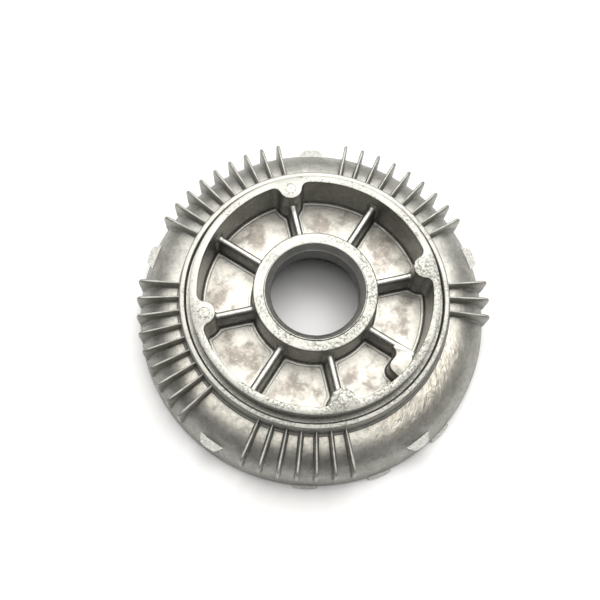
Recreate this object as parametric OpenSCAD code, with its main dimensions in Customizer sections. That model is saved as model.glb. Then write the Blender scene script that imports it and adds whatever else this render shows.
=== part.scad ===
// Finned end cover with a shaft bore, one aluminium die casting.
// Open side down: z = 0 is the mounting face of the rim, +Z runs out along the shaft.
// Each node is one named region of the casting; neighbours meet face to face.

/* [Rim and dome] */
// Outside diameter of the rim at the mounting face
rim_d = 205.4; // [196:0.2:260]
// Radius of the quarter-round dome between the rim and the step
dome_round = 25; // [20:0.5:27]
// Wall thickness of the dome
wall = 3.5; // [2.5:0.25:5]
// Height of the thick rim above the mounting face
rim_h = 4; // [3:0.5:6]
// Inside diameter of the register in the rim
register_d = 194; // [186:1:194]

/* [Spigot and step] */
// Height of the spigot face above the mounting face
cover_h = 44; // [40:0.5:56]
// Outside diameter of the spigot
spigot_d = 140; // [130:1:146]
// Width of the spigot's flat face
spigot_face = 4.3; // [3:0.1:6]
// How far the spigot stands above its ledge
spigot_lift = 11; // [8:0.5:13]
// Width of the ledge round the foot of the spigot
ledge_w = 2.5; // [1.5:0.1:3.5]
// Width of the groove between the ledge and the step
groove_w = 1.2; // [0.8:0.1:2]
// Depth of the groove below the ledge
groove_deep = 1.5; // [0.5:0.1:2.5]
// Width of the step's flat top
step_w = 2.3; // [1.5:0.1:4]
// Height of the step's top above the ledge
step_lift = 2.5; // [1:0.1:4]

/* [Pocket] */
// Depth of the pocket below the spigot face
pocket_deep = 25.7; // [20:0.1:26.2]
// Thickness of the web under the pocket
web_t = 4; // [3:0.5:6]
// Radius of the fillet round the pocket floor
floor_fillet = 1.8; // [1:0.1:3]
// How much the pocket's walls lean over their height
wall_lean = 0.5; // [0.2:0.1:1]
// How far the pocket wall's outside is set in below the spigot
wall_step = 0.8; // [0.4:0.1:1]

/* [Hub] */
// Diameter of the shaft seal's bore
seal_bore_d = 52; // [46:1:56]
// Lead-in chamfer at the mouth of the seal bore
seal_chamfer = 2.6; // [1:0.1:3]
// Depth of the seal bore, chamfer included
seal_deep = 15; // [10:0.5:17]
// Diameter of the bearing seat behind the seal bore
bearing_d = 62; // [58:1:64]
// Depth of the bearing seat
bearing_deep = 16; // [12:0.5:18]
// Width of the hub's flat face outside the chamfer
hub_face = 6.6; // [4:0.1:8]
// How far the hub's face lies below the spigot face
hub_drop = 2.5; // [0:0.1:4]

/* [Ribs and ears] */
// Angle of the first rib and the first ear
rib_angle = 12.5; // [8:0.5:16]
// Thickness of a rib at its round top
rib_t = 3.4; // [2.4:0.1:5]
// How far the ribs' tops lie below the hub's face
rib_drop = 8; // [5:0.5:12]
// Radius of an ear
ear_r = 6.6; // [5:0.1:8]
// How far an ear's centre lies inside the spigot's outer wall
ear_inset = 6.5; // [6:0.1:9]
// Radius of the fillets that join an ear to the spigot
ear_fillet = 4; // [2:0.5:5]
// Radial width of the pad beside the eighth rib
pad_w = 9.2; // [6:0.1:12]
// Angle that the pad spans
pad_span = 13.5; // [9:0.5:18]
// Radius of the pad's free corner
pad_corner = 2.6; // [1:0.1:4]
// How far the pad's top lies below the ribs' tops
pad_drop = 1; // [0.8:0.1:3]

/* [Fins and lugs] */
// Angle between neighbouring fins
fin_pitch = 6; // [5:0.5:6]
// Thickness of a fin
fin_t = 1.9; // [1.4:0.1:2.6]
// How far the fins' tops lie below the step's top where they meet it
fin_drop = 4.5; // [3:0.5:7]
// How far the fins' tops fall from the step to their tips
fin_fall = 2.6; // [0:0.1:4]
// Distance from the fins' outer edges to the rim's outside
fin_inset = 0.9; // [0.5:0.1:3]
// Radius of the fins' outer corners
fin_corner = 3; // [1.5:0.5:5]
// Height of the lugs' top faces
lug_z = 15; // [12:0.5:18]
// Thickness of a lug
lug_t = 4; // [3:0.5:6]
// Width of a lug at its tip
lug_tip_w = 9; // [6:0.5:12]
// Width of a lug at the dome
lug_root_w = 15.4; // [12:0.2:20]
// Width of a trim tab on the rim
tab_w = 14; // [8:0.5:18]
// How far a trim tab stands out from the rim
tab_out = 1.6; // [0.8:0.1:2.5]
// Thickness of a trim tab
tab_t = 2.4; // [1.5:0.1:3.5]

/* [Hidden] */
$fn = 96;

rim_r = rim_d / 2;
dome_r = rim_r - dome_round;
spigot_r = spigot_d / 2;
wall_r = spigot_r - wall_step;
ledge_z = cover_h - spigot_lift;
step_z = ledge_z + step_lift;
step_in = spigot_r + ledge_w + groove_w;
step_out = step_in + step_w;
pocket_r = spigot_r - spigot_face;
floor_z = cover_h - pocket_deep;
web_z = floor_z - web_t;
pocket_foot_r = pocket_r - wall_lean;
seal_r = seal_bore_d / 2;
bearing_r = bearing_d / 2;
mouth_r = seal_r + seal_chamfer;
hub_r = mouth_r + hub_face;
hub_foot_r = hub_r + wall_lean;
hub_z = cover_h - hub_drop;
shoulder_z = hub_z - seal_deep;
hub_low_z = shoulder_z - bearing_deep;
rib_z = hub_z - rib_drop;
ear_at = spigot_r - ear_inset;
fin_r = rim_r - fin_inset;
fin_top_in = step_z - fin_drop;
fin_top_out = fin_top_in - fin_fall;

// Edge break on the machined and trimmed corners
edge = 0.4;
// Lean of a rib's side from its round top to the floor
rib_lean = 0.5;
// Height and width of the flare at a rib's foot
rib_flare = 1.3;
// Radius of the fillet where the step's wall runs into the dome
step_fillet = 1.5;
// Lean of the step's outer wall
step_lean = 0.6;
// Points along a quarter of a small fillet
fillet_steps = 6;
// Number of ribs from the hub to the pocket wall; every second one ends in an ear
rib_count = 8;
// Angle between lugs and the first lug's angle
lug_step = 72;
first_lug = 18;
// Each group of fins: the angle of its first fin and how many fins it has
fin_groups = [[30, 9], [102, 9], [174, 9], [246, 7], [-6, 3]];
// Angles of the trim tabs on the rim
tab_angles = [267, 291, 315];
// Small overlap that lets a cutting shape pass its target's face
past = 1;
// How far the ears' fillets bite into the spigot's wall, so that they cross it cleanly
bite = 0.8;
// Angle by which the pad's plan runs past the rib's middle before the rib is cut from it
pad_bite = 0.8;
// Facets of the dome where it trims small pieces
fine_fn = 360;

foot_r = step_out + step_lean + step_fillet;
foot_z = round_at(foot_r, dome_round);

// Points on an arc about [x, z] from angle a to angle b
function arc(x, z, r, a, b, steps = fillet_steps) =
    [for (i = [0:steps]) let (t = a + (b - a) * i / steps) [x + r * cos(t), z + r * sin(t)]];

// Pocket wall's radius at a height, leaning in towards the floor
function wall_at(z) = pocket_r - wall_lean * (cover_h - z) / (pocket_deep - floor_fillet);

// Hub's radius at a height, widening towards the floor
function hub_at(z) = hub_r + wall_lean * (hub_z - z) / (hub_z - floor_z - floor_fillet);

// Height of a quarter-round of radius round, centred at dome_r on the mounting face, flat inside it
function round_at(r, round) = r <= dome_r ? round : sqrt(round * round - pow(r - dome_r, 2));

module metal() {
    color([0.74, 0.73, 0.70]) children();
}

module machined() {
    color([0.90, 0.89, 0.86]) children();
}

// ---- shapes that several nodes share ----

// Outline of the open space inside the pocket, hub to wall, with its floor fillets
module pocket_outline() {
    f = floor_fillet;
    polygon(concat(
        [[hub_at(cover_h + past), cover_h + past]],
        arc(hub_foot_r + f, floor_z + f, f, 180, 270),
        arc(pocket_foot_r - f, floor_z + f, f, 270, 360),
        [[wall_at(cover_h + past), cover_h + past]]
    ));
}

module pocket_space() {
    rotate_extrude() pocket_outline();
}

// Outside of the casting below the step, used to trim what stands on it
module outer_outline() {
    square([dome_r, dome_round]);
    translate([dome_r, 0])
        intersection() {
            circle(r = dome_round);
            square(dome_round);
        }
    polygon(concat([[0, 0], [0, step_z]], step_wall(), [[foot_r, 0]]));
}

// Step's outer wall with the fillet that runs it into the dome
function step_wall() = concat(
    [[step_out - edge, step_z], [step_out, step_z - edge]],
    arc(foot_r, foot_z + step_fillet, step_fillet, 180, 270)
);

module outer_space() {
    rotate_extrude() outer_outline();
}

// ---- hub and web ----

module hub() {
    f = floor_fillet;
    machined()
        rotate_extrude()
            polygon(concat(
                [
                    [bearing_r + edge, hub_low_z], [bearing_r, hub_low_z + edge],
                    [bearing_r, shoulder_z], [seal_r, shoulder_z],
                    [seal_r, hub_z - seal_chamfer], [mouth_r, hub_z], [hub_r, hub_z]
                ],
                arc(hub_foot_r + f, floor_z + f, f, 180, 270),
                [[hub_foot_r + f, web_z], [hub_foot_r, web_z], [hub_foot_r, hub_low_z]]
            ));
}

module web_floor() {
    metal()
        translate([0, 0, web_z])
            difference() {
                cylinder(r = pocket_foot_r - floor_fillet, h = web_t);
                translate([0, 0, -past])
                    cylinder(r = hub_foot_r + floor_fillet, h = web_t + 2 * past);
            }
}

// ---- walls of revolution outside the web ----

module pocket_wall() {
    f = floor_fillet;
    metal()
        rotate_extrude()
            polygon(concat(
                [[pocket_foot_r - f, web_z]],
                arc(pocket_foot_r - f, floor_z + f, f, 270, 360),
                [[wall_at(ledge_z), ledge_z], [wall_r, ledge_z], [wall_r, web_z]]
            ));
}

module spigot_ring() {
    machined()
        rotate_extrude()
            polygon([
                [wall_at(ledge_z), ledge_z], [pocket_r, cover_h],
                [spigot_r - edge, cover_h], [spigot_r, cover_h - edge], [spigot_r, ledge_z]
            ]);
}

// Ledge, groove and step, over a thin deck that closes the top of the dome
module step_ring() {
    groove_in = spigot_r + ledge_w;
    groove_z = ledge_z - groove_deep;
    deck_z = groove_z - wall;
    machined()
        rotate_extrude()
            polygon(concat(
                [
                    [wall_r, deck_z], [wall_r, ledge_z], [groove_in, ledge_z],
                    [groove_in, groove_z], [step_in, groove_z], [step_in, step_z - edge],
                    [step_in + edge, step_z]
                ],
                step_wall(),
                [
                    [foot_r, round_at(foot_r, dome_round - wall)],
                    [step_out, round_at(step_out, dome_round - wall)], [step_in, deck_z]
                ]
            ));
}

// Quarter-round shell from the step's foot to the rim
module dome_outline() {
    difference() {
        union() {
            translate([dome_r, 0])
                intersection() {
                    circle(r = dome_round);
                    square(dome_round);
                }
            if (foot_r < dome_r)
                translate([foot_r, dome_round - wall])
                    square([dome_r - foot_r, wall]);
        }
        translate([dome_r, 0])
            circle(r = dome_round - wall);
    }
}

module dome_shell() {
    metal()
        rotate_extrude()
            intersection() {
                dome_outline();
                translate([foot_r, rim_h])
                    square([rim_r, dome_round]);
            }
}

module base_rim() {
    metal()
        rotate_extrude()
            intersection() {
                union() {
                    dome_outline();
                    translate([register_d / 2, 0])
                        square([dome_r + dome_round - wall / 2 - register_d / 2, rim_h]);
                }
                square([rim_r, rim_h]);
            }
}

// ---- ribs, ears and pad inside the pocket ----

// A rib's cross-section: leaning sides, round top, flared foot
module rib_section() {
    r = rib_t / 2;
    foot = r + rib_lean;
    low = floor_z - past;
    polygon(concat(
        [[-foot - rib_flare - past, low], [-foot, floor_z + rib_flare]],
        arc(0, rib_z - r, r, 180, 0, 2 * fillet_steps),
        [[foot, floor_z + rib_flare], [foot + rib_flare + past, low]]
    ));
}

module rib_bar(angle) {
    rotate([0, 0, angle])
        translate([hub_r - past, 0, 0])
            rotate([90, 0, 90])
                linear_extrude(height = pocket_r - hub_r + 2 * past)
                    rib_section();
}

// An ear: a round column and two fillets that run it into the spigot's inner wall
module ear_column(angle) {
    low = floor_z - past;
    tall = cover_h - low;
    reach = pocket_r - ear_fillet + bite;
    side = acos((ear_at * ear_at + reach * reach - pow(ear_r + ear_fillet, 2)) / (2 * ear_at * reach));
    back_r = pocket_r + past;
    rotate([0, 0, angle])
        translate([0, 0, low])
            difference() {
                union() {
                    translate([ear_at, 0, 0])
                        cylinder(r = ear_r, h = tall);
                    linear_extrude(height = tall)
                        polygon([
                            [ear_at, 0], [reach * cos(side), reach * sin(side)],
                            [back_r * cos(side), back_r * sin(side)],
                            [back_r * cos(side), -back_r * sin(side)],
                            [reach * cos(side), -reach * sin(side)]
                        ]);
                }
                for (s = [-1, 1])
                    rotate([0, 0, s * side])
                        translate([reach, 0, -past])
                            cylinder(r = ear_fillet, h = tall + 2 * past);
            }
}

module ear(number) {
    machined()
        intersection() {
            pocket_space();
            ear_column(rib_angle + 90 * (number - 1));
        }
}

// Ribs with odd numbers run into an ear, the others into the pocket's wall
module rib(number) {
    angle = rib_angle + 360 / rib_count * (number - 1);
    metal()
        difference() {
            intersection() {
                pocket_space();
                rib_bar(angle);
            }
            if (number % 2 == 1)
                ear_column(angle);
        }
}

// Plan of the pad: inner edge from the rib, free corner, side, and past the pocket's wall
module pad_plan(rib_at) {
    near = rib_at - pad_span;
    far = rib_at + pad_bite;
    inner = pocket_r - pad_w;
    turn = asin(pad_corner / (inner + pad_corner));
    mid = near + turn;
    back = pocket_r + past;
    polygon(concat(
        [back * [cos(far), sin(far)]],
        arc(0, 0, inner, far, mid, 2 * fillet_steps),
        arc((inner + pad_corner) * cos(mid), (inner + pad_corner) * sin(mid), pad_corner,
            mid - 180, mid - 90),
        [back * [cos(near), sin(near)], back * [cos(mid), sin(mid)]]
    ));
}

// A pad that fills the corner between the eighth rib and the pocket's wall
module corner_pad() {
    angle = rib_angle - 360 / rib_count;
    metal()
        difference() {
            intersection() {
                pocket_space();
                translate([0, 0, floor_z - past])
                    linear_extrude(height = rib_z - pad_drop - floor_z + past)
                        pad_plan(angle);
            }
            rib_bar(angle);
        }
}

// ---- fins, lugs and tabs on the outside ----

module fin_plate(angle) {
    c = fin_corner;
    rotate([0, 0, angle])
        rotate([90, 0, 0])
            translate([0, 0, -fin_t / 2])
                linear_extrude(height = fin_t)
                    polygon(concat(
                        [[step_out - past, 0], [step_out - past, fin_top_in]],
                        arc(fin_r - c, fin_top_out - c, c, 90, 0),
                        [[fin_r, 0]]
                    ));
}

module fins(group) {
    metal()
        difference() {
            union()
                for (i = [0:fin_groups[group][1] - 1])
                    fin_plate(fin_groups[group][0] + fin_pitch * i);
            outer_space();
        }
}

module lug(number) {
    tip = rim_r - 0.1;
    root = dome_r + dome_round / 2;
    metal()
        rotate([0, 0, first_lug + lug_step * (number - 1)])
            difference() {
                translate([0, 0, lug_z - lug_t])
                    linear_extrude(height = lug_t)
                        polygon([
                            [root, -lug_root_w / 2 - 2], [root, lug_root_w / 2 + 2],
                            [tip, lug_tip_w / 2], [tip, -lug_tip_w / 2]
                        ]);
                outer_space($fn = fine_fn);
            }
}

module rim_tab(number) {
    metal()
        rotate([0, 0, tab_angles[number - 1]])
            difference() {
                translate([rim_r - past, -tab_w / 2, 0])
                    cube([tab_out + past, tab_w, tab_t]);
                outer_space($fn = fine_fn);
            }
}

// ---- one line per node ----

hub();
web_floor();
pocket_wall();
spigot_ring();
step_ring();
dome_shell();
base_rim();
rib(1);  // rib_1
rib(2);  // rib_2
rib(3);  // rib_3
rib(4);  // rib_4
rib(5);  // rib_5
rib(6);  // rib_6
rib(7);  // rib_7
rib(8);  // rib_8
ear(1);  // ear_1
ear(2);  // ear_2
ear(3);  // ear_3
ear(4);  // ear_4
corner_pad();
fins(0);  // fins_1
fins(1);  // fins_2
fins(2);  // fins_3
fins(3);  // fins_4
fins(4);  // fins_5
lug(1);  // lug_1
lug(2);  // lug_2
lug(3);  // lug_3
lug(4);  // lug_4
lug(5);  // lug_5
rim_tab(1);  // rim_tab_1
rim_tab(2);  // rim_tab_2
rim_tab(3);  // rim_tab_3
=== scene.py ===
import math
import random

import bmesh
import bpy
from mathutils import Matrix, Vector, noise


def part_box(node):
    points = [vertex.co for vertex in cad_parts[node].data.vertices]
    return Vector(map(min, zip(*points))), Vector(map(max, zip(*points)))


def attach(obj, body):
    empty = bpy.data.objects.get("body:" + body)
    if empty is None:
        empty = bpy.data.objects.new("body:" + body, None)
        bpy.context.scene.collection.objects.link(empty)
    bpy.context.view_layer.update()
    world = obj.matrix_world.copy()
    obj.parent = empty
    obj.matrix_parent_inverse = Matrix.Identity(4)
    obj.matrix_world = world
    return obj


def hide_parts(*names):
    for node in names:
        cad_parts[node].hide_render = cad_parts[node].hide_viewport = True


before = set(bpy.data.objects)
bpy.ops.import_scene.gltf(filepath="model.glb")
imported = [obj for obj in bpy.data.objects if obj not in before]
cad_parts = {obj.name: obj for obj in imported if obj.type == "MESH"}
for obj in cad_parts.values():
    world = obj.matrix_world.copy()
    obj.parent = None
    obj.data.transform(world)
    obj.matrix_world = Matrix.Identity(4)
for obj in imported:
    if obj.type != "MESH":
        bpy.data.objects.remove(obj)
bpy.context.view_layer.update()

MM = 0.001
ROOM_DIM = 0.09
ROOM_BRIGHT = 2.4
WARM_WHITE = (1.0, 0.99, 0.97)
BODY = "root"
FIN_PITCH = 6
LUG_STEP = 72
FIRST_LUG = 18
RIB_ANGLE = 12.5
RIB_STEP = 45
# each group of fins: first fin's angle, number of fins
FIN_GROUPS = ((30, 9), (102, 9), (174, 9), (246, 7), (-6, 3))
TAB_ANGLES = (267, 291, 315)


# ---- sizes in millimetres, some read from the CAD parts, the rest given ----

def low(node):
    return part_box(node)[0] / MM


def high(node):
    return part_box(node)[1] / MM


cover_h = high("spigot_ring").z
spigot_r = high("spigot_ring").x
ledge_z = low("spigot_ring").z
wall_r = high("pocket_wall").x
web_z = low("web_floor").z
floor_z = high("web_floor").z
hub_z = high("hub").z
hub_low_z = low("hub").z
step_z = high("step_ring").z
foot_r = high("step_ring").x
rim_r = high("base_rim").x
rim_h = high("base_rim").z
dome_top = high("dome_shell").z
rib_z = high("rib_2").z
lug_z = high("lug_1").z
lug_low_z = low("lug_1").z
tab_z = high("rim_tab_1").z
fin_top = high("fins_1").z

fillet = 1.8
lean = 0.5
wall = 3.5
seal_r = 26.0
seal_deep = 15.0
chamfer = 2.6
bearing_r = 31.0
hub_r = high("hub").x - fillet - lean
register_r = 97.0
dome_r = rim_r - dome_top
pocket_r = spigot_r - 4.3
groove_in = spigot_r + 2.5
step_in = groove_in + 1.2
step_out = step_in + 2.3
groove_z = ledge_z - 1.5
ear_r = 6.6
ear_at = spigot_r - 6.5
ear_fillet = 4.0
rib_half = 2.15
rib_crown = 2.1
pad_in = pocket_r - 9.2
pad_span = 13.5
pad_corner = 4.4
fin_root = 0.95
fin_tip = 0.6
fin_swell = 0.4
fin_fillet = 0.85
fin_fall = 2.6
fin_inset = 0.9
fin_corner = 2.0
lug_root_w = 17.2
lug_tip_w = 9.4
tab_root_w = 13.9
tab_tip_w = 13.6
tab_out = 1.55
panel_lift = 0.22
pin_mark_r = 2.9


# ---- small geometry helpers ----

def polar(radius, degrees):
    a = math.radians(degrees)
    return Vector((radius * math.cos(a), radius * math.sin(a)))


def smooth_step(t):
    t = min(max(t, 0), 1)
    return t * t * (3 - 2 * t)


def mix(a, b, t):
    return a + (b - a) * t


def rounded(points, steps=4):
    """An outline's (x, z) points, with an arc in place of each corner (x, z, radius) that asks for one."""
    made = []
    for i, p in enumerate(points):
        at = Vector(p[:2])
        if len(p) < 3:
            made.append(at)
            continue
        back = (Vector(points[i - 1][:2]) - at).normalized()
        on = (Vector(points[(i + 1) % len(points)][:2]) - at).normalized()
        half = back.angle(on) / 2
        run = p[2] / math.tan(half)
        centre = at + (back + on).normalized() * (p[2] / math.sin(half))
        a, b = at + back * run - centre, at + on * run - centre
        for k in range(steps + 1):
            made.append(centre + a.slerp(b, k / steps, a))
    return made


def piece(name, verts, faces, mats, nodes, painted_light=None, mat_of=None, sharp=38):
    """Makes a closed mesh from points in millimetres, and puts it in the place of the named CAD nodes."""
    mesh = bpy.data.meshes.new(name)
    mesh.from_pydata([Vector(v) * MM for v in verts], [], faces)
    bm = bmesh.new()
    bm.from_mesh(mesh)
    bmesh.ops.recalc_face_normals(bm, faces=bm.faces)
    bm.to_mesh(mesh)
    bm.free()
    for m in mats:
        mesh.materials.append(m)
    for f in mesh.polygons:
        f.use_smooth = True
        if mat_of:
            f.material_index = mat_of(f.center / MM, f.normal)
    mesh.set_sharp_from_angle(angle=math.radians(sharp))
    # per-vertex painted light: positive values paint shade into the colour, negative values paint a
    # highlight
    layer = mesh.attributes.new("painted_light", "FLOAT", "POINT")
    for i, v in enumerate(mesh.vertices):
        layer.data[i].value = painted_light(v.co / MM, v.normal) if painted_light else 0.0
    obj = bpy.data.objects.new(name, mesh)
    bpy.context.scene.collection.objects.link(obj)
    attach(obj, BODY)
    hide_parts(*nodes)
    return obj


def loft(rings):
    """Closed skin through rings of equal length, the last one joined to the first."""
    n = len(rings[0])
    verts = [v for ring in rings for v in ring]
    faces = []
    for i in range(len(rings)):
        j = (i + 1) % len(rings)
        for k in range(n):
            m = (k + 1) % n
            faces.append((i * n + k, i * n + m, j * n + m, j * n + k))
    return verts, faces


def lathe(profile, segments=240, shape=None):
    """Turns a closed outline of (radius, z) round the shaft. shape may move each point."""
    rings = []
    for p in profile:
        ring = []
        for k in range(segments):
            a = 2 * math.pi * k / segments
            r, z = shape(p.x, p.y, a) if shape else (p.x, p.y)
            ring.append(Vector((r * math.cos(a), r * math.sin(a), z)))
        rings.append(ring)
    return loft(rings)


def tube(sections):
    """Closed skin through sections of equal length, with a cap at each end."""
    n = len(sections[0])
    verts = [v for s in sections for v in s]
    faces = []
    for i in range(len(sections) - 1):
        for k in range(n):
            m = (k + 1) % n
            faces.append((i * n + k, i * n + m, i * n + n + m, i * n + n + k))
    faces.append(tuple(range(n)))
    faces.append(tuple(range(len(verts) - n, len(verts))))
    return verts, faces


# ---- materials ----

class Nodes:
    """A few short calls for building one material's node tree."""

    def __init__(self, name):
        self.mat = bpy.data.materials.new(name)
        self.mat.use_nodes = True
        self.tree = self.mat.node_tree
        self.shader = self.tree.nodes["Principled BSDF"]
        coord = self.tree.nodes.new("ShaderNodeTexCoord")
        scale = self.tree.nodes.new("ShaderNodeVectorMath")
        scale.operation = "SCALE"
        scale.inputs["Scale"].default_value = 1 / MM
        self.join(coord.outputs["Object"], scale.inputs[0])
        self.mm = scale.outputs[0]

    def join(self, out, socket):
        self.tree.links.new(out, socket)

    def feed(self, value, socket):
        if isinstance(value, bpy.types.NodeSocket):
            self.join(value, socket)
        else:
            socket.default_value = value

    def noise(self, scale, detail=4, rough=0.55, warp=0.0, where=None):
        n = self.tree.nodes.new("ShaderNodeTexNoise")
        n.inputs["Scale"].default_value = scale
        n.inputs["Detail"].default_value = detail
        n.inputs["Roughness"].default_value = rough
        n.inputs["Distortion"].default_value = warp
        self.join(where or self.mm, n.inputs["Vector"])
        return n.outputs["Fac"]

    def cells(self, scale, where=None):
        n = self.tree.nodes.new("ShaderNodeTexVoronoi")
        n.inputs["Scale"].default_value = scale
        self.join(where or self.mm, n.inputs["Vector"])
        return n.outputs["Distance"]

    def ramp(self, value, lo, hi):
        n = self.tree.nodes.new("ShaderNodeMapRange")
        n.interpolation_type = "SMOOTHSTEP"
        n.inputs["From Min"].default_value = lo
        n.inputs["From Max"].default_value = hi
        self.feed(value, n.inputs["Value"])
        return n.outputs["Result"]

    def math(self, kind, a, b=0.0, c=0.0):
        n = self.tree.nodes.new("ShaderNodeMath")
        n.operation = kind
        for i, v in enumerate((a, b, c)):
            self.feed(v, n.inputs[i])
        return n.outputs[0]

    def blend(self, fac, a, b, kind="MIX"):
        n = self.tree.nodes.new("ShaderNodeMix")
        n.data_type = "RGBA"
        n.blend_type = kind
        self.feed(fac, n.inputs["Factor"])
        for v, s in ((a, n.inputs["A"]), (b, n.inputs["B"])):
            self.feed(v if isinstance(v, bpy.types.NodeSocket) else (*v, 1), s)
        return n.outputs["Result"]

    def xyz(self):
        n = self.tree.nodes.new("ShaderNodeSeparateXYZ")
        self.join(self.mm, n.inputs[0])
        return n.outputs

    def polar(self):
        """Distance from the shaft's axis, and the angle round it in radians."""
        x, y, _ = self.xyz()
        square = self.math("ADD", self.math("MULTIPLY", x, x), self.math("MULTIPLY", y, y))
        return self.math("SQRT", square), self.math("ARCTAN2", y, x)

    # reads the per-vertex painted light: positive is painted shade, negative is painted highlight
    def painted_light(self):
        n = self.tree.nodes.new("ShaderNodeAttribute")
        n.attribute_name = "painted_light"
        return n.outputs["Fac"]

    def bump(self, height, strength, distance, normal=None):
        n = self.tree.nodes.new("ShaderNodeBump")
        n.inputs["Strength"].default_value = strength
        n.inputs["Distance"].default_value = distance * MM
        self.join(height, n.inputs["Height"])
        if normal:
            self.join(normal, n.inputs["Normal"])
        return n.outputs["Normal"]

    def done(self, colour, rough, normal, metallic=1.0):
        s = self.shader.inputs
        self.feed(colour, s["Base Color"])
        self.feed(rough, s["Roughness"])
        self.feed(metallic, s["Metallic"])
        self.join(normal, s["Normal"])
        return self.mat


def flow_marks(n, tone, normal, strength):
    """Folds left by the cooling metal, on the sector without fins before the short group of fins. The zone
    is tinted warm and the fold crests are painted lighter as a highlight.
    """
    across, turn = n.polar()
    zone = n.math("MULTIPLY", n.ramp(turn, -1.3, -1.0), n.ramp(turn, -0.16, -0.4))
    zone = n.math("MULTIPLY", zone, n.ramp(across, 96, 85))
    # the folds run outwards and lean over, so the noise is stretched along a slanted polar grid
    grid = n.tree.nodes.new("ShaderNodeCombineXYZ")
    n.join(n.math("ADD", n.math("MULTIPLY", turn, 44), n.math("MULTIPLY", across, 0.5)), grid.inputs[0])
    n.join(n.math("MULTIPLY", across, 0.42), grid.inputs[1])
    folds = n.noise(0.36, 4, 0.6, 0.9, grid.outputs[0])
    normal = n.bump(n.math("MULTIPLY", folds, zone), strength, 1.7, normal)
    # painted highlight: the crests of the folds are lightened, on top of a warm tint over the whole zone
    crest_highlight = n.math("MULTIPLY", n.ramp(folds, 0.40, 0.60), 0.42)
    warm_tint_and_crest_highlight = n.math("MULTIPLY", zone, n.math("ADD", 0.22, crest_highlight))
    tone = n.blend(warm_tint_and_crest_highlight, tone, (0.74, 0.69, 0.60))
    hollow = n.math("MULTIPLY", zone, n.ramp(n.noise(0.8, 5, 0.7, 0.5), 0.60, 0.74))
    return n.blend(n.math("MULTIPLY", hollow, 0.7), tone, (0.20, 0.19, 0.18)), normal


def cast_skin(name, tones, rough, wrinkle=0.0):
    """Satin as-cast skin: cloudy tone, painted shade in corners, undersides and low parts, a painted
    highlight where the per-vertex value is negative, fine grain, and flow marks where asked.
    """
    n = Nodes(name)
    light, dark, shade_tone = tones
    cloud = n.ramp(n.noise(0.09, 5, 0.6, 0.6), 0.35, 0.68)
    grain = n.noise(1.6, 6, 0.7)
    # painted shade: the per-vertex value darkens corners, undersides and low parts, broken up by noise
    patchy_shade = n.math("MULTIPLY", n.painted_light(), n.ramp(n.noise(0.2, 4), 0.1, 0.75))
    tone = n.blend(cloud, dark, light)
    cover = n.math("ADD", n.math("MULTIPLY", n.painted_light(), 0.55), n.math("MULTIPLY", patchy_shade, 0.4))
    tone = n.blend(n.math("MAXIMUM", cover, 0.0), tone, shade_tone)
    # painted highlight: negative per-vertex values lighten the colour in noisy patches
    highlight_share = n.math("MAXIMUM", n.math("MULTIPLY", n.painted_light(), -1.0), 0.0)
    painted_sheen = n.math("MULTIPLY", highlight_share, n.ramp(n.noise(0.25, 5, 0.65), 0.3, 0.6))
    tone = n.blend(painted_sheen, tone, (0.80, 0.76, 0.67))
    mottle = n.noise(0.45, 6, 0.75)
    tone = n.blend(n.math("MULTIPLY", n.ramp(mottle, 0.52, 0.68), 0.30), tone, (0.74, 0.73, 0.68))
    tone = n.blend(n.math("MULTIPLY", n.ramp(mottle, 0.48, 0.34), 0.35), tone, (0.12, 0.12, 0.115))
    shine = n.math("ADD", rough - 0.08, n.math("MULTIPLY", grain, 0.18))
    normal = n.bump(grain, 0.32, 0.12)
    normal = n.bump(n.noise(0.22, 3), 0.35, 0.5, normal)
    if wrinkle:
        tone, normal = flow_marks(n, tone, normal, wrinkle)
    return n.done(tone, shine, normal)


def floor_skin(name):
    """Bright pocket floors with cloudy brown-grey burnish in the middle of each pocket, painted shade in
    the fillets and a painted highlight line along their foot.
    """
    n = Nodes(name)
    across, turn = n.polar()
    ring = n.math("MULTIPLY", n.ramp(across, 39, 50), n.ramp(across, 63, 53))
    turn = n.math("SUBTRACT", turn, math.radians(RIB_ANGLE))
    turn = n.math("WRAP", turn, 0.0, math.radians(RIB_STEP))
    off_middle = n.math("ABSOLUTE", n.math("SUBTRACT", turn, math.radians(RIB_STEP / 2)))
    middle = n.math("MULTIPLY", ring, n.ramp(off_middle, math.radians(19), math.radians(7)))
    cloud = n.math("ADD", n.noise(0.09, 5, 0.56, 0.3), n.math("MULTIPLY", middle, 0.11))
    tone = n.blend(n.ramp(cloud, 0.46, 0.70), (0.49, 0.475, 0.43), (0.22, 0.203, 0.178))
    pink = n.ramp(n.noise(0.16, 4, 0.6), 0.5, 0.68)
    tone = n.blend(n.math("MULTIPLY", pink, 0.3), tone, (0.42, 0.35, 0.31))
    # painted shade in the fillets and under the web
    tone = n.blend(n.math("MAXIMUM", n.painted_light(), 0.0), tone, (0.13, 0.13, 0.12))
    mottle = n.noise(0.5, 6, 0.75)
    tone = n.blend(n.math("MULTIPLY", n.ramp(mottle, 0.52, 0.66), 0.2), tone, (0.86, 0.83, 0.76))
    tone = n.blend(n.math("MULTIPLY", n.ramp(mottle, 0.48, 0.36), 0.25), tone, (0.20, 0.185, 0.17))
    # painted highlight: a bright line along the foot of each fillet
    tone = n.blend(n.math("MAXIMUM", n.math("MULTIPLY", n.painted_light(), -1.0), 0.0), tone, (0.88, 0.87, 0.82))
    grain = n.noise(1.3, 6, 0.7)
    shine = n.math("ADD", 0.34, n.math("MULTIPLY", grain, 0.22))
    normal = n.bump(grain, 0.25, 0.12)
    normal = n.bump(n.noise(0.2, 4, 0.6), 0.4, 0.7, normal)
    return n.done(tone, shine, normal)


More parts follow.
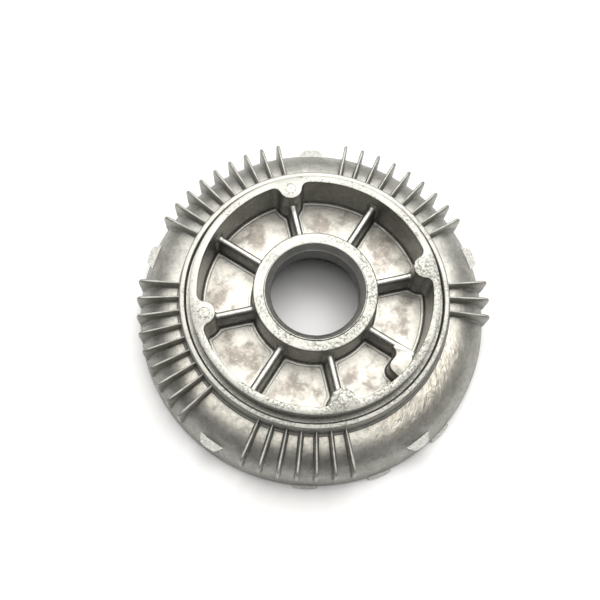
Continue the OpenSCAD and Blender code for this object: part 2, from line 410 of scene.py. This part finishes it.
def pin_mark(n):
    """The faint ring that an ejector pin left on each ear: 1 on the ring, 0 elsewhere."""
    across, turn = n.polar()
    turn = n.math("SUBTRACT", turn, math.radians(RIB_ANGLE))
    turn = n.math("WRAP", turn, -math.pi / 4, math.pi / 4)
    away = n.math("SUBTRACT", n.math("MULTIPLY", across, n.math("COSINE", turn)), ear_at - 0.6)
    beside = n.math("MULTIPLY", across, n.math("SINE", turn))
    from_pin = n.math("ADD", n.math("MULTIPLY", away, away), n.math("MULTIPLY", beside, beside))
    off_ring = n.math("SUBTRACT", n.math("SQRT", from_pin), pin_mark_r)
    return n.ramp(n.math("ABSOLUTE", off_ring), 0.5, 0.1)


def linished(name, stain):
    """Flat faces linished bright, with grey-green stains and small pits, more of them to one side."""
    n = Nodes(name)
    x, y, _ = n.xyz()
    side = n.ramp(n.math("SUBTRACT", x, y), -90, 70)
    blot = n.noise(0.75, 6, 0.75, 0.4)
    stains = n.ramp(n.math("ADD", blot, n.math("MULTIPLY", side, 0.05)), 0.50, 0.62)
    patch = n.ramp(n.math("ADD", n.noise(0.07, 3), n.math("MULTIPLY", side, 0.12)), 0.42, 0.66)
    stains = n.math("MULTIPLY", stains, n.math("ADD", 0.15, n.math("MULTIPLY", patch, 0.85)))
    tone = n.blend(n.math("MULTIPLY", stains, stain), (0.385, 0.38, 0.35), (0.13, 0.133, 0.115))
    veins = n.ramp(n.noise(1.1, 5, 0.75, 1.5), 0.57, 0.68)
    tone = n.blend(n.math("MULTIPLY", veins, 0.35 * stain), tone, (0.26, 0.27, 0.24))
    # painted shade: darker on the side faces lower down and in the groove
    tone = n.blend(n.math("MULTIPLY", n.painted_light(), 0.8), tone, (0.16, 0.16, 0.15))
    pin = pin_mark(n)
    tone = n.blend(n.math("MULTIPLY", pin, n.ramp(blot, 0.35, 0.6)), tone, (0.15, 0.15, 0.135))
    fine = n.math("SUBTRACT", n.noise(2.4, 5, 0.7), n.math("MULTIPLY", pin, 0.8))
    shine = n.math("ADD", 0.44, n.math("MULTIPLY", stains, 0.2))
    normal = n.bump(fine, 0.2, 0.08)
    normal = n.bump(blot, 0.22, 0.25, normal)
    return n.done(tone, shine, normal)


def turned(name, tones, pitch=2.2):
    """Turned bore and chamfer: fine rings along the shaft and a slight grey cast."""
    n = Nodes(name)
    z = n.xyz()[2]
    rings = n.math("SINE", n.math("MULTIPLY", z, 2 * math.pi * pitch))
    cloud = n.noise(0.15, 4)
    light, dark = tones
    tone = n.blend(n.ramp(cloud, 0.35, 0.7), dark, light)
    normal = n.bump(rings, 0.06, 0.03)
    normal = n.bump(n.noise(1.5, 5, 0.7), 0.14, 0.08, normal)
    return n.done(tone, n.math("ADD", 0.3, n.math("MULTIPLY", cloud, 0.15)), normal)


def broken_flash(name):
    """Trimmed gate stubs: torn, crystalline, nearly white."""
    n = Nodes(name)
    cells = n.cells(1.1)
    torn = n.noise(0.9, 6, 0.75, 0.8)
    tone = n.blend(n.ramp(torn, 0.42, 0.62), (0.30, 0.30, 0.28), (0.46, 0.455, 0.43))
    # painted shade: the stubs' sides darker towards the bottom
    tone = n.blend(n.math("MULTIPLY", n.painted_light(), 0.7), tone, (0.28, 0.27, 0.25))
    normal = n.bump(torn, 0.6, 0.5)
    normal = n.bump(cells, 0.3, 0.4, normal)
    return n.done(tone, n.math("ADD", 0.3, n.math("MULTIPLY", torn, 0.25)), normal, 0.85)


def paper(name):
    n = Nodes(name)
    tone = n.blend(n.noise(0.01, 2), (0.90, 0.90, 0.90), (0.92, 0.92, 0.92))
    normal = n.bump(n.noise(0.8, 2), 0.02, 0.05)
    return n.done(tone, 0.7, normal, 0.0)


# clean metal, duller metal, and the painted shade colour for corners, undersides and low parts
DOME_TONES = (0.52, 0.513, 0.475), (0.39, 0.385, 0.355), (0.245, 0.243, 0.23)
FIN_TONES = (0.50, 0.494, 0.455), (0.38, 0.377, 0.35), (0.16, 0.16, 0.15)
WALL_TONES = (0.54, 0.535, 0.50), (0.42, 0.418, 0.395), (0.225, 0.225, 0.212)
RIB_TONES = (0.55, 0.543, 0.505), (0.44, 0.436, 0.405), (0.12, 0.12, 0.113)
# painted shade: undersides, the bearing seat and the dome's cavity take a near-black copy of the cast skin
INSIDE_SHADE_TONES = (0.12, 0.12, 0.114), (0.08, 0.08, 0.076), (0.05, 0.05, 0.048)
CHAMFER_TONES = (0.74, 0.737, 0.705), (0.60, 0.598, 0.57)
# painted shade: the bore is a dark copy of the chamfer's turned finish
BORE_SHADE_TONES = (0.12, 0.12, 0.115), (0.085, 0.085, 0.081)

dome_metal = cast_skin("cast_dome", DOME_TONES, 0.52, 0.7)
step_wall_metal = cast_skin("cast_step", DOME_TONES, 0.52)
fin_metal = cast_skin("cast_fins", FIN_TONES, 0.50)
wall_metal = cast_skin("cast_walls", WALL_TONES, 0.46)
rib_metal = cast_skin("cast_ribs", RIB_TONES, 0.42)
inside_shade_metal = cast_skin("cast_inside_painted_shade", INSIDE_SHADE_TONES, 0.5)
floor_metal = floor_skin("pocket_floor")
face_metal = linished("linished_face", 0.65)
step_metal = linished("turned_step", 0.35)
chamfer_metal = turned("turned_chamfer", CHAMFER_TONES)
shaded_bore_metal = turned("turned_bore_shaded", BORE_SHADE_TONES)
flash_metal = broken_flash("torn_flash")


# ---- hub, spigot and step ----

def hub():
    shoulder_z = hub_z - seal_deep
    profile = rounded([
        (bearing_r, hub_low_z, 0.4), (bearing_r, shoulder_z), (seal_r, shoulder_z, 0.4),
        (seal_r, hub_z - chamfer, 0.15), (seal_r + chamfer, hub_z, 0.25),
        (seal_r + chamfer + 0.5, hub_z), (hub_r - 1.4, hub_z), (hub_r, hub_z, 1.0),
        (hub_r + lean, floor_z - 1), (hub_r + lean, hub_low_z, 0.6),
    ], 6)
    verts, faces = lathe(profile, 288)

    def zone(c, nrm):
        r = math.hypot(c.x, c.y)
        if nrm.z > 0.75 and c.z > hub_z - 0.7:
            return 0
        if c.z > hub_z - chamfer - 0.05 and r < seal_r + chamfer + 0.05:
            return 1
        # below the web and in the bearing seat the near-black painted shade material; the bore takes the
        # dark painted shade copy of the turned finish
        if c.z < web_z:
            return 4
        return 2 if r < seal_r + 0.5 else 4 if r < bearing_r + 0.1 else 3

    # painted shade: the boss's sides darker towards the floor; the face left clean
    def painted_light(p, nrm):
        if nrm.z > 0.7:
            return 0.0
        return 0.25 + 0.75 * smooth_step((hub_z - p.z) / (hub_z - floor_z))

    piece("hub_boss", verts, faces, [face_metal, chamfer_metal, shaded_bore_metal, wall_metal, inside_shade_metal],
          ["hub"], painted_light, zone)


def pocket_curve():
    """The pocket wall in plan, with its four ears: (point, normal into the pocket)."""
    wall_steps, fillet_steps, ear_steps = 44, 9, 24
    reach = pocket_r - ear_fillet
    far = ear_r + ear_fillet
    side = math.degrees(math.acos((ear_at ** 2 + reach ** 2 - far ** 2) / (2 * ear_at * reach)))
    curve = []
    for k in range(4):
        mid = RIB_ANGLE + 90 * k
        ear = polar(ear_at, mid)
        for i in range(wall_steps):
            a = mid - 90 + side + (90 - 2 * side) * i / wall_steps
            curve.append((polar(pocket_r, a), -polar(1, a)))
        first, last = polar(reach, mid - side), polar(reach, mid + side)
        to_ear = math.degrees(math.atan2(ear.y - first.y, ear.x - first.x))
        swing = (to_ear - (mid - side)) % 360
        for i in range(fillet_steps):
            a = mid - side + swing * i / fillet_steps
            curve.append((first + polar(ear_fillet, a), -polar(1, a)))
        turn = 2 * (180 - abs((to_ear - 180 - mid + 180) % 360 - 180))
        for i in range(ear_steps):
            a = to_ear + 180 - turn * i / ear_steps
            curve.append((ear + polar(ear_r, a), polar(1, a)))
        for i in range(fillet_steps):
            a = mid + side - swing + swing * i / fillet_steps
            curve.append((last + polar(ear_fillet, a), -polar(1, a)))
    return curve


def pocket_casting():
    """Spigot, ears and pocket wall in one skin, so that the ears run into the wall with fillets."""
    curve = pocket_curve()

    def outer(radius, z):
        return [(*(p.normalized() * radius), z) for p, _ in curve]

    def inner(offset, z):
        return [(*(p + q * offset), z) for p, q in curve]

    rings = [
        outer(wall_r, web_z), outer(wall_r, ledge_z), outer(spigot_r, ledge_z),
        outer(spigot_r, cover_h - 0.4), outer(spigot_r - 0.12, cover_h - 0.12),
        outer(spigot_r - 0.4, cover_h),
        inner(-0.45, cover_h), inner(-0.13, cover_h - 0.13), inner(0, cover_h - 0.45),
    ]
    steps = 10
    for i in range(1, steps + 1):
        t = i / steps
        rings.append(inner(lean * t, mix(cover_h - 0.45, floor_z - 0.6, t)))
    rings.append(inner(lean, web_z))
    verts, faces = loft(rings)

    def zone(c, nrm):
        if nrm.z > 0.8 and c.z > cover_h - 0.3:
            return 0
        if c.z < web_z + 0.1 or (c.z < ledge_z and math.hypot(c.x, c.y) > wall_r - 0.4):
            return 3
        return 1 if math.hypot(c.x, c.y) > spigot_r - 1.5 else 2

    # painted shade: the walls darker towards the floor; the top faces left clean
    def painted_light(p, nrm):
        if p.z > cover_h - 0.2:
            return 0.0
        return 0.35 + 0.55 * smooth_step((cover_h - p.z) / (cover_h - floor_z))

    piece("spigot_and_ears", verts, faces, [face_metal, step_metal, wall_metal, inside_shade_metal],
          ["spigot_ring", "pocket_wall", "ear_1", "ear_2", "ear_3", "ear_4"], painted_light, zone)


def step():
    deck_z = groove_z - wall
    lean_out = 0.6
    turn = foot_r - step_out - lean_out
    profile = rounded([
        (wall_r, deck_z), (wall_r, ledge_z - 0.02), (groove_in, ledge_z - 0.02, 0.25),
        (groove_in, groove_z), (step_in, groove_z), (step_in, step_z, 0.35), (step_out, step_z, 0.5),
        (step_out + lean_out, dome_top, turn), (foot_r + 0.6, dome_top), (foot_r, dome_top - wall),
        (step_out, dome_top - wall), (step_in, deck_z),
    ], 6)
    verts, faces = lathe(profile, 288)

    def zone(c, nrm):
        if nrm.z < -0.3 or c.z < groove_z - 0.5 and math.hypot(c.x, c.y) < step_out:
            return 2
        return 1 if c.z < step_z - 0.7 and math.hypot(c.x, c.y) > step_in + 1 else 0

    # painted shade: dark in the groove, and the outer wall darker below the step
    def painted_light(p, nrm):
        r = math.hypot(p.x, p.y)
        if p.z < ledge_z - 0.4 and groove_in - 0.3 < r < step_in + 0.3:
            return 1.0
        if r > step_in + 1 and p.z < step_z - 0.8:
            return 0.75 * smooth_step((step_z - p.z) / 5)
        return 0.0

    piece("step_ring_skin", verts, faces, [step_metal, step_wall_metal, inside_shade_metal], ["step_ring"],
          painted_light, zone)


# ---- pocket floor, ribs and pad ----

def clearance(p):
    """How far a point of the floor is from the nearest wall, rib, ear or pad, rounded where two meet."""
    r = p.length
    a = math.degrees(math.atan2(p.y, p.x))
    gaps = [r - hub_r - lean, pocket_r - lean - r]
    near_rib = round((a - RIB_ANGLE) / RIB_STEP) * RIB_STEP + RIB_ANGLE
    for rib in (near_rib, near_rib + RIB_STEP, near_rib - RIB_STEP):
        gaps.append(abs(r * math.sin(math.radians(a - rib))) - rib_half - 0.4)
    near_ear = round((a - RIB_ANGLE) / 90) * 90 + RIB_ANGLE
    gaps.append((p - polar(ear_at, near_ear)).length - ear_r - 0.2)
    pad_mid = RIB_ANGLE - RIB_STEP - pad_span / 2
    beside = abs((a - pad_mid + 180) % 360 - 180) - pad_span / 2
    to_pad = (pad_in - r + pad_corner, r * math.radians(beside) + pad_corner)
    outside = math.hypot(max(to_pad[0], 0), max(to_pad[1], 0))
    gaps.append(outside + min(max(to_pad), 0) - pad_corner)
    soft = 0.75
    if min(gaps) <= -2:
        return min(gaps)
    return -soft * math.log(sum(math.exp(-g / soft) for g in gaps))


def floor_height(p):
    """Height of the web's top: fillets round all that stands on it, and a raised panel in each pocket."""
    d = clearance(p)
    z = floor_z - panel_lift
    if d < fillet:
        rise = fillet - max(d, 0.05)
        z += fillet - math.sqrt(fillet ** 2 - rise ** 2)
    z += panel_lift * smooth_step((d - fillet - 0.3) / 0.4)
    return z + 0.05 * noise.noise(Vector((p.x, p.y, 0)) * 0.12) * smooth_step((d - 3) / 3)


def floor():
    rows, columns = 66, 960
    r0, r1 = hub_r + 0.2, pocket_r - 0.1
    rings = []
    for i in range(rows + 1):
        t = i / rows
        r = mix(r0, r1, mix(t, 0.5 - 0.5 * math.cos(math.pi * t), 0.45))
        ring = []
        for k in range(columns):
            p = polar(r, 360 * k / columns)
            ring.append((p.x, p.y, floor_height(p)))
        rings.append(ring)
    rings.append([(v[0], v[1], web_z) for v in rings[-1]])
    rings.append([(v[0], v[1], web_z) for v in rings[0]])
    verts, faces = loft(rings)

    # painted light: shade under the web and in the fillets, and a negative value for a highlight line along
    # the fillet's foot
    def painted_light(p, nrm):
        if p.z < web_z + 1:
            return 0.5
        d = clearance(Vector((p.x, p.y)))
        rim = math.exp(-((d - fillet - 0.5) / 0.42) ** 2)
        return 0.9 * smooth_step(fillet - 0.1 - d) - rim

    def zone(c, nrm):
        return 1 if c.z < web_z + 0.5 else 0

    piece("pocket_floor", verts, faces, [floor_metal, inside_shade_metal], ["web_floor"], painted_light, zone)


def rib_outline(half, top):
    """A rib's cross-section, half wide on each side at the shoulder: drafted sides and a round top."""
    foot, foot_z = half + lean, floor_z - 1
    shoulder = top - rib_crown
    right = [(mix(foot, half, t), mix(foot_z, shoulder, t)) for t in (0, 0.33, 0.66)]
    for j in range(8):
        a = math.pi / 2 * j / 7
        right.append((half * math.cos(a), shoulder + rib_crown * math.sin(a)))
    return [(-w, z) for w, z in right] + right[-2::-1]


def rib(number):
    """A drafted rib with a round top, flared where it runs into the hub and the wall."""
    meets_ear = number % 2 == 1
    start = hub_r - 0.6
    end = ear_at - ear_r + 1.2 if meets_ear else pocket_r - 0.2
    flare_start = end - (0.8 if meets_ear else 0.4)
    flare = 2.2
    turn = math.radians(RIB_ANGLE + RIB_STEP * (number - 1))
    c, q = math.cos(turn), math.sin(turn)
    sections = []
    steps = 36
    for i in range(steps + 1):
        x = mix(start, end, 0.5 - 0.5 * math.cos(math.pi * i / steps))
        gap = min(max(x - hub_r - 0.3, 0), max(flare_start - x, 0))
        grow = flare - math.sqrt(flare ** 2 - max(flare - gap, 0) ** 2)
        outline = rib_outline(rib_half + 0.8 * grow, rib_z + 0.5 * grow)
        sections.append([(x * c - w * q, x * q + w * c, z) for w, z in outline])
    verts, faces = tube(sections)

    # painted shade: the sides darker, the round top left light
    def painted_light(p, nrm):
        return 0.85 * smooth_step((0.75 - nrm.z) / 0.7)

    piece(f"rib_{number}_skin", verts, faces, [rib_metal], [f"rib_{number}"], painted_light)


def pad():
    """The raised pad in the corner beside the eighth rib."""
    far = RIB_ANGLE - RIB_STEP
    near = far - pad_span
    turn = math.degrees(math.asin(pad_corner / (pad_in + pad_corner)))
    middle = polar(pad_in + pad_corner, near + turn)
    into_rib = 1.2
    into_wall = 0.6
    blend = 4.0
    outline = []
    for i in range(17):
        a = mix(far + into_rib, near + turn, i / 16)
        gap = max(math.radians(far - a) * pad_in - rib_half - lean, 0)
        swell = blend - math.sqrt(blend ** 2 - max(blend - gap, 0) ** 2)
        outline.append((polar(pad_in - swell, a), -polar(1, a)))
    for i in range(1, 9):
        a = near + turn + 180 + 90 * i / 9
        outline.append((middle + polar(pad_corner, a), polar(1, a)))
    for i in range(7):
        r = mix(pad_in + pad_corner, pocket_r + into_wall, i / 6)
        outline.append((polar(r, near), polar(1, near - 90)))
    outline.append((polar(pocket_r + into_wall, far + into_rib), polar(1, far)))
    top = rib_z - 0.1
    # how far out each level lies, and its height
    levels = [(0.3, floor_z - 0.8), (0.1, mix(floor_z, top, 0.5)), (0, top - 0.8),
              (-0.25, top - 0.25), (-0.8, top)]
    sections = [[(*(p + q * off), z) for p, q in outline] for off, z in levels]
    verts, faces = tube(sections)

    # painted shade: the sides darker, the top left light
    def painted_light(p, nrm):
        return 0.9 * smooth_step((0.75 - nrm.z) / 0.5)

    piece("corner_pad_skin", verts, faces, [floor_metal], ["corner_pad"], painted_light)


# ---- dome, fins, lugs and tabs ----

def dome_arc(radius, start, stop, steps):
    """Points along the dome's quarter-round, from one angle to another, in degrees above the ground."""
    turns = [math.radians(mix(start, stop, i / steps)) for i in range(steps + 1)]
    return [Vector((dome_r + radius * math.cos(a), radius * math.sin(a))) for a in turns]


def dome():
    """Quarter-round dome with its rim and hollow underside. Its flow marks are small real waves."""
    outside = dome_arc(dome_top, 89.2, 0, 40)[:-1]
    rim = [(rim_r, 0.5), (rim_r - 0.4, 0), (register_r + 0.4, 0), (register_r, 0.4), (register_r, rim_h)]
    profile = outside + [Vector(p) for p in rim] + dome_arc(dome_top - wall, 12, 89, 16)

    def shape(r, z, a):
        if z < rim_h or math.hypot(r - dome_r, z) < dome_top - 0.5:
            return r, z
        turn = math.degrees(a)
        marks = smooth_step((turn - 288) / 12) * smooth_step((348 - turn) / 10) * smooth_step((z - 8) / 8)
        at = Vector((r * math.cos(a), r * math.sin(a), z))
        wave = min(0.10 * noise.noise(at * 0.08) + 0.16 * marks * noise.noise(at * 0.33) - 0.1, 0)
        out = Vector((r - dome_r, z)).normalized()
        return r + out.x * wave, z + out.y * wave

    verts, faces = lathe(profile, 480, shape)

    # painted light: shade inside the shell, towards the ground, at the foot of the step and on the +y side;
    # a highlight just outside the step on the -y side
    def painted_light(p, nrm):
        r = math.hypot(p.x, p.y)
        if math.hypot(r - dome_r, p.z) < dome_top - 1:
            return 0.6
        low_down = 0.85 * smooth_step((18 - p.z) / 18)
        at_step = 0.3 * smooth_step(foot_r + 1 - r)
        far_side = 0.3 * smooth_step((p.y - 20) / 50)
        # painted highlight just outside the step, fading towards +y
        painted_sheen = smooth_step((r - foot_r) / 1.5) * smooth_step((91 - r) / 8) * smooth_step((20 - p.y) / 60)
        return low_down + at_step + far_side - 0.75 * painted_sheen

    def zone(c, nrm):
        r = math.hypot(c.x, c.y)
        return 1 if math.hypot(r - dome_r, c.z) < dome_top - 1.5 and r < rim_r - 2 else 0

    piece("dome_and_rim", verts, faces, [dome_metal, inside_shade_metal], ["dome_shell", "base_rim"],
          painted_light, zone)


def fin_edge(phi):
    """Distance from the dome's surface to a fin's edge, along the dome's normal at angle phi."""
    side = rim_r - fin_inset - dome_r
    fall = fin_fall / (rim_r - fin_inset - step_out)
    c, s = math.cos(phi), math.sin(phi)
    top = fin_top - fall * (dome_r - step_out)
    to_top = top / (s + fall * c) if s > 0.05 else 1e3
    to_side = side / c if c > 0.01 else 1e3
    ways = math.exp(-to_top / fin_corner) + math.exp(-to_side / fin_corner)
    return -fin_corner * math.log(ways) - dome_top


def fin_stations():
    """Where a fin is cut across: each cut's foot, the dome's angle there, and the fin's height."""
    made = []
    slope = fin_fall / 26
    for i in range(4):
        r = step_out - 0.3 + i * 0.5
        height = fin_edge(math.pi / 2) + (dome_r - r) * slope
        made.append((Vector((r, dome_top)), math.pi / 2, height))
    steps = 34
    stop = math.acos((rim_r - fin_inset - dome_r) / dome_top) + 0.02
    for i in range(steps + 1):
        phi = mix(math.pi / 2 - 0.03, stop, i / steps)
        foot = Vector((dome_r + dome_top * math.cos(phi), dome_top * math.sin(phi)))
        made.append((foot, phi, fin_edge(phi)))
    return made


def fin_outline(height, outer):
    """A fin's cross-section, (across, up): fillets at the root, drafted sides and a round edge."""
    fil = min(fin_fillet, 0.35 * height)
    tip = min(fin_tip + fin_swell * outer, 0.6 * height)
    root = mix(tip, max(fin_root, tip), smooth_step(height / 6))
    half = [(root + fil, -0.15)]
    for j in range(1, 4):
        a = math.pi / 2 * j / 4
        half.append((root + fil * (1 - math.sin(a)), fil * (1 - math.cos(a))))
    half += [(root, fil), (mix(root, tip, 0.5), mix(fil, height - tip, 0.5))]
    for j in range(4):
        a = math.pi / 2 * j / 4
        half.append((tip * math.cos(a), height - tip + tip * math.sin(a)))
    return half + [(0, height)] + [(-w, d) for w, d in reversed(half)]


def fin(angle):
    """A drafted blade along one radius of the dome, a little thicker towards its outer end."""
    turn = math.radians(angle)
    c, q = math.cos(turn), math.sin(turn)
    sections = []
    for foot, phi, height in fin_stations():
        ring = []
        for w, d in fin_outline(max(height, 0.05), smooth_step((foot.x - dome_r) / 16)):
            r, z = foot.x + math.cos(phi) * d, foot.y + math.sin(phi) * d
            ring.append((r * c - w * q, r * q + w * c, max(z, 0.2)))
        sections.append(ring)
    return tube(sections)


def fins(number):
    first, count = FIN_GROUPS[number - 1]
    verts, faces = [], []
    for i in range(count):
        v, f = fin(first + FIN_PITCH * i)
        faces += [tuple(k + len(verts) for k in face) for face in f]
        verts += v

    # painted shade: darker close to the dome surface and towards the ground
    def painted_light(p, nrm):
        r = math.hypot(p.x, p.y)
        above = math.hypot(max(r - dome_r, 0), p.z) - dome_top
        low_down = smooth_step((14 - p.z) / 14)
        return 0.72 * (1 - smooth_step(above / 5.5)) + 0.3 * low_down

    piece(f"fins_{number}_skin", verts, faces, [fin_metal], [f"fins_{number}"], painted_light, sharp=50)


def plate(name, node, angle, root_r, tip_r, root_w, tip_w, z0, z1, layers, rough, seed):
    """A sheared stub: a flat plate whose end shows the layers it tore in."""
    dice = random.Random(seed)
    c, q = math.cos(math.radians(angle)), math.sin(math.radians(angle))
    count = 15
    sections = []
    for k in range(layers):
        set_back = 0.0 if k == layers - 1 else dice.uniform(0.1, 0.8) * rough
        jag = [dice.uniform(-1, 0) * 0.35 * rough for _ in range(count)]
        for end in (0.08, 0.92):
            z = mix(z0, z1, (k + end) / layers)
            ring = [(root_r, -root_w / 2), (mix(root_r, tip_r, 0.5), -mix(root_w, tip_w, 0.5) / 2)]
            for i in range(count):
                y = mix(-tip_w / 2, tip_w / 2, i / (count - 1))
                bow = 0.5 * (1 - (2 * y / tip_w) ** 2)
                ring.append((tip_r - 0.5 + bow - set_back + jag[i], y))
            ring += [(mix(root_r, tip_r, 0.5), mix(root_w, tip_w, 0.5) / 2), (root_r, root_w / 2)]
            sections.append([(x * c - y * q, x * q + y * c, z) for x, y in ring])
    verts, faces = tube(sections)

    # painted shade: the sides darker towards the bottom; tops left clean
    def painted_light(p, nrm):
        return 0.0 if nrm.z > 0.6 else 0.55 * (1 - smooth_step((p.z - z0) / (z1 - z0)))

    piece(name, verts, faces, [flash_metal], [node], painted_light, sharp=30)


def lug(number):
    root = dome_r + math.sqrt(dome_top ** 2 - lug_z ** 2) - 1.5
    plate(f"lug_{number}_skin", f"lug_{number}", FIRST_LUG + LUG_STEP * (number - 1), root, rim_r - 0.15,
          lug_root_w, lug_tip_w, lug_low_z, lug_z, 4, 1.0, number)


def tab(number):
    plate(f"rim_tab_{number}_skin", f"rim_tab_{number}", TAB_ANGLES[number - 1], rim_r - 1.2,
          rim_r + tab_out, tab_root_w, tab_tip_w, 0.05, tab_z, 2, 0.35, 20 + number)


hub()
pocket_casting()
step()
floor()
for k in range(1, 9):
    rib(k)
pad()
dome()
for k in range(1, 6):
    fins(k)
    lug(k)
for k in range(1, 4):
    tab(k)


# ---- stage, light and camera ----

def ground():
    mesh = bpy.data.meshes.new("ground")
    half = 3.0
    corners = [(-half, -half, 0), (half, -half, 0), (half, half, 0), (-half, half, 0)]
    mesh.from_pydata(corners, [], [(0, 1, 2, 3)])
    mesh.materials.append(paper("white_table"))
    obj = bpy.data.objects.new("ground", mesh)
    bpy.context.scene.collection.objects.link(obj)


def softbox(name, azimuth, tilt, distance, size, power, colour):
    """A square light aimed at the cover, tilt degrees from overhead, towards azimuth."""
    data = bpy.data.lights.new(name, "AREA")
    data.size = size
    data.energy = power
    data.color = colour
    lamp = bpy.data.objects.new(name, data)
    a, t = math.radians(azimuth), math.radians(tilt)
    way = Vector((math.cos(a) * math.sin(t), math.sin(a) * math.sin(t), math.cos(t)))
    lamp.location = way * distance
    lamp.rotation_mode = "QUATERNION"
    lamp.rotation_quaternion = way.to_track_quat("Z", "Y")
    bpy.context.scene.collection.objects.link(lamp)


def surroundings():
    """A room that is bright overhead and behind the cover, and dim on the near side."""
    world = bpy.data.worlds.new("room")
    bpy.context.scene.world = world
    world.use_nodes = True
    tree = world.node_tree
    sky = tree.nodes["Background"]
    coord = tree.nodes.new("ShaderNodeTexCoord")
    toward = tree.nodes.new("ShaderNodeVectorMath")
    toward.operation = "DOT_PRODUCT"
    toward.inputs[1].default_value = Vector((0.04, 0.34, 0.94)).normalized()
    reach = tree.nodes.new("ShaderNodeMapRange")
    reach.interpolation_type = "SMOOTHSTEP"
    reach.inputs["From Min"].default_value = 0.55
    reach.inputs["From Max"].default_value = 1.0
    reach.inputs["To Min"].default_value = ROOM_DIM
    reach.inputs["To Max"].default_value = ROOM_BRIGHT
    tree.links.new(coord.outputs["Generated"], toward.inputs[0])
    tree.links.new(toward.outputs["Value"], reach.inputs["Value"])
    tree.links.new(reach.outputs["Result"], sky.inputs["Strength"])
    sky.inputs["Color"].default_value = (*WARM_WHITE, 1)


def camera():
    """Above the cover and a little in front, 18 degrees off the shaft, rolled slightly."""
    data = bpy.data.cameras.new("camera")
    data.sensor_width = 36
    data.lens = 48
    cam = bpy.data.objects.new("camera", data)
    cam.location = Vector((-24.49, -144.43, 462.06)) * MM
    target = Vector((-7.21, 8.18, 0)) * MM
    back = (cam.location - target).normalized()
    up = Vector((-0.0034, 0.9496, 0.3135))
    right = up.cross(back).normalized()
    up = back.cross(right)
    cam.rotation_mode = "QUATERNION"
    cam.rotation_quaternion = Matrix((right, up, back)).transposed().to_quaternion()
    bpy.context.scene.collection.objects.link(cam)
    bpy.context.scene.camera = cam


ground()
surroundings()
softbox("key_softbox", 60, 30, 1.5, 0.9, 8, WARM_WHITE)
softbox("left_softbox", 128, 35, 1.5, 0.9, 4, WARM_WHITE)
camera()
bpy.context.scene.view_settings.view_transform = "Standard"
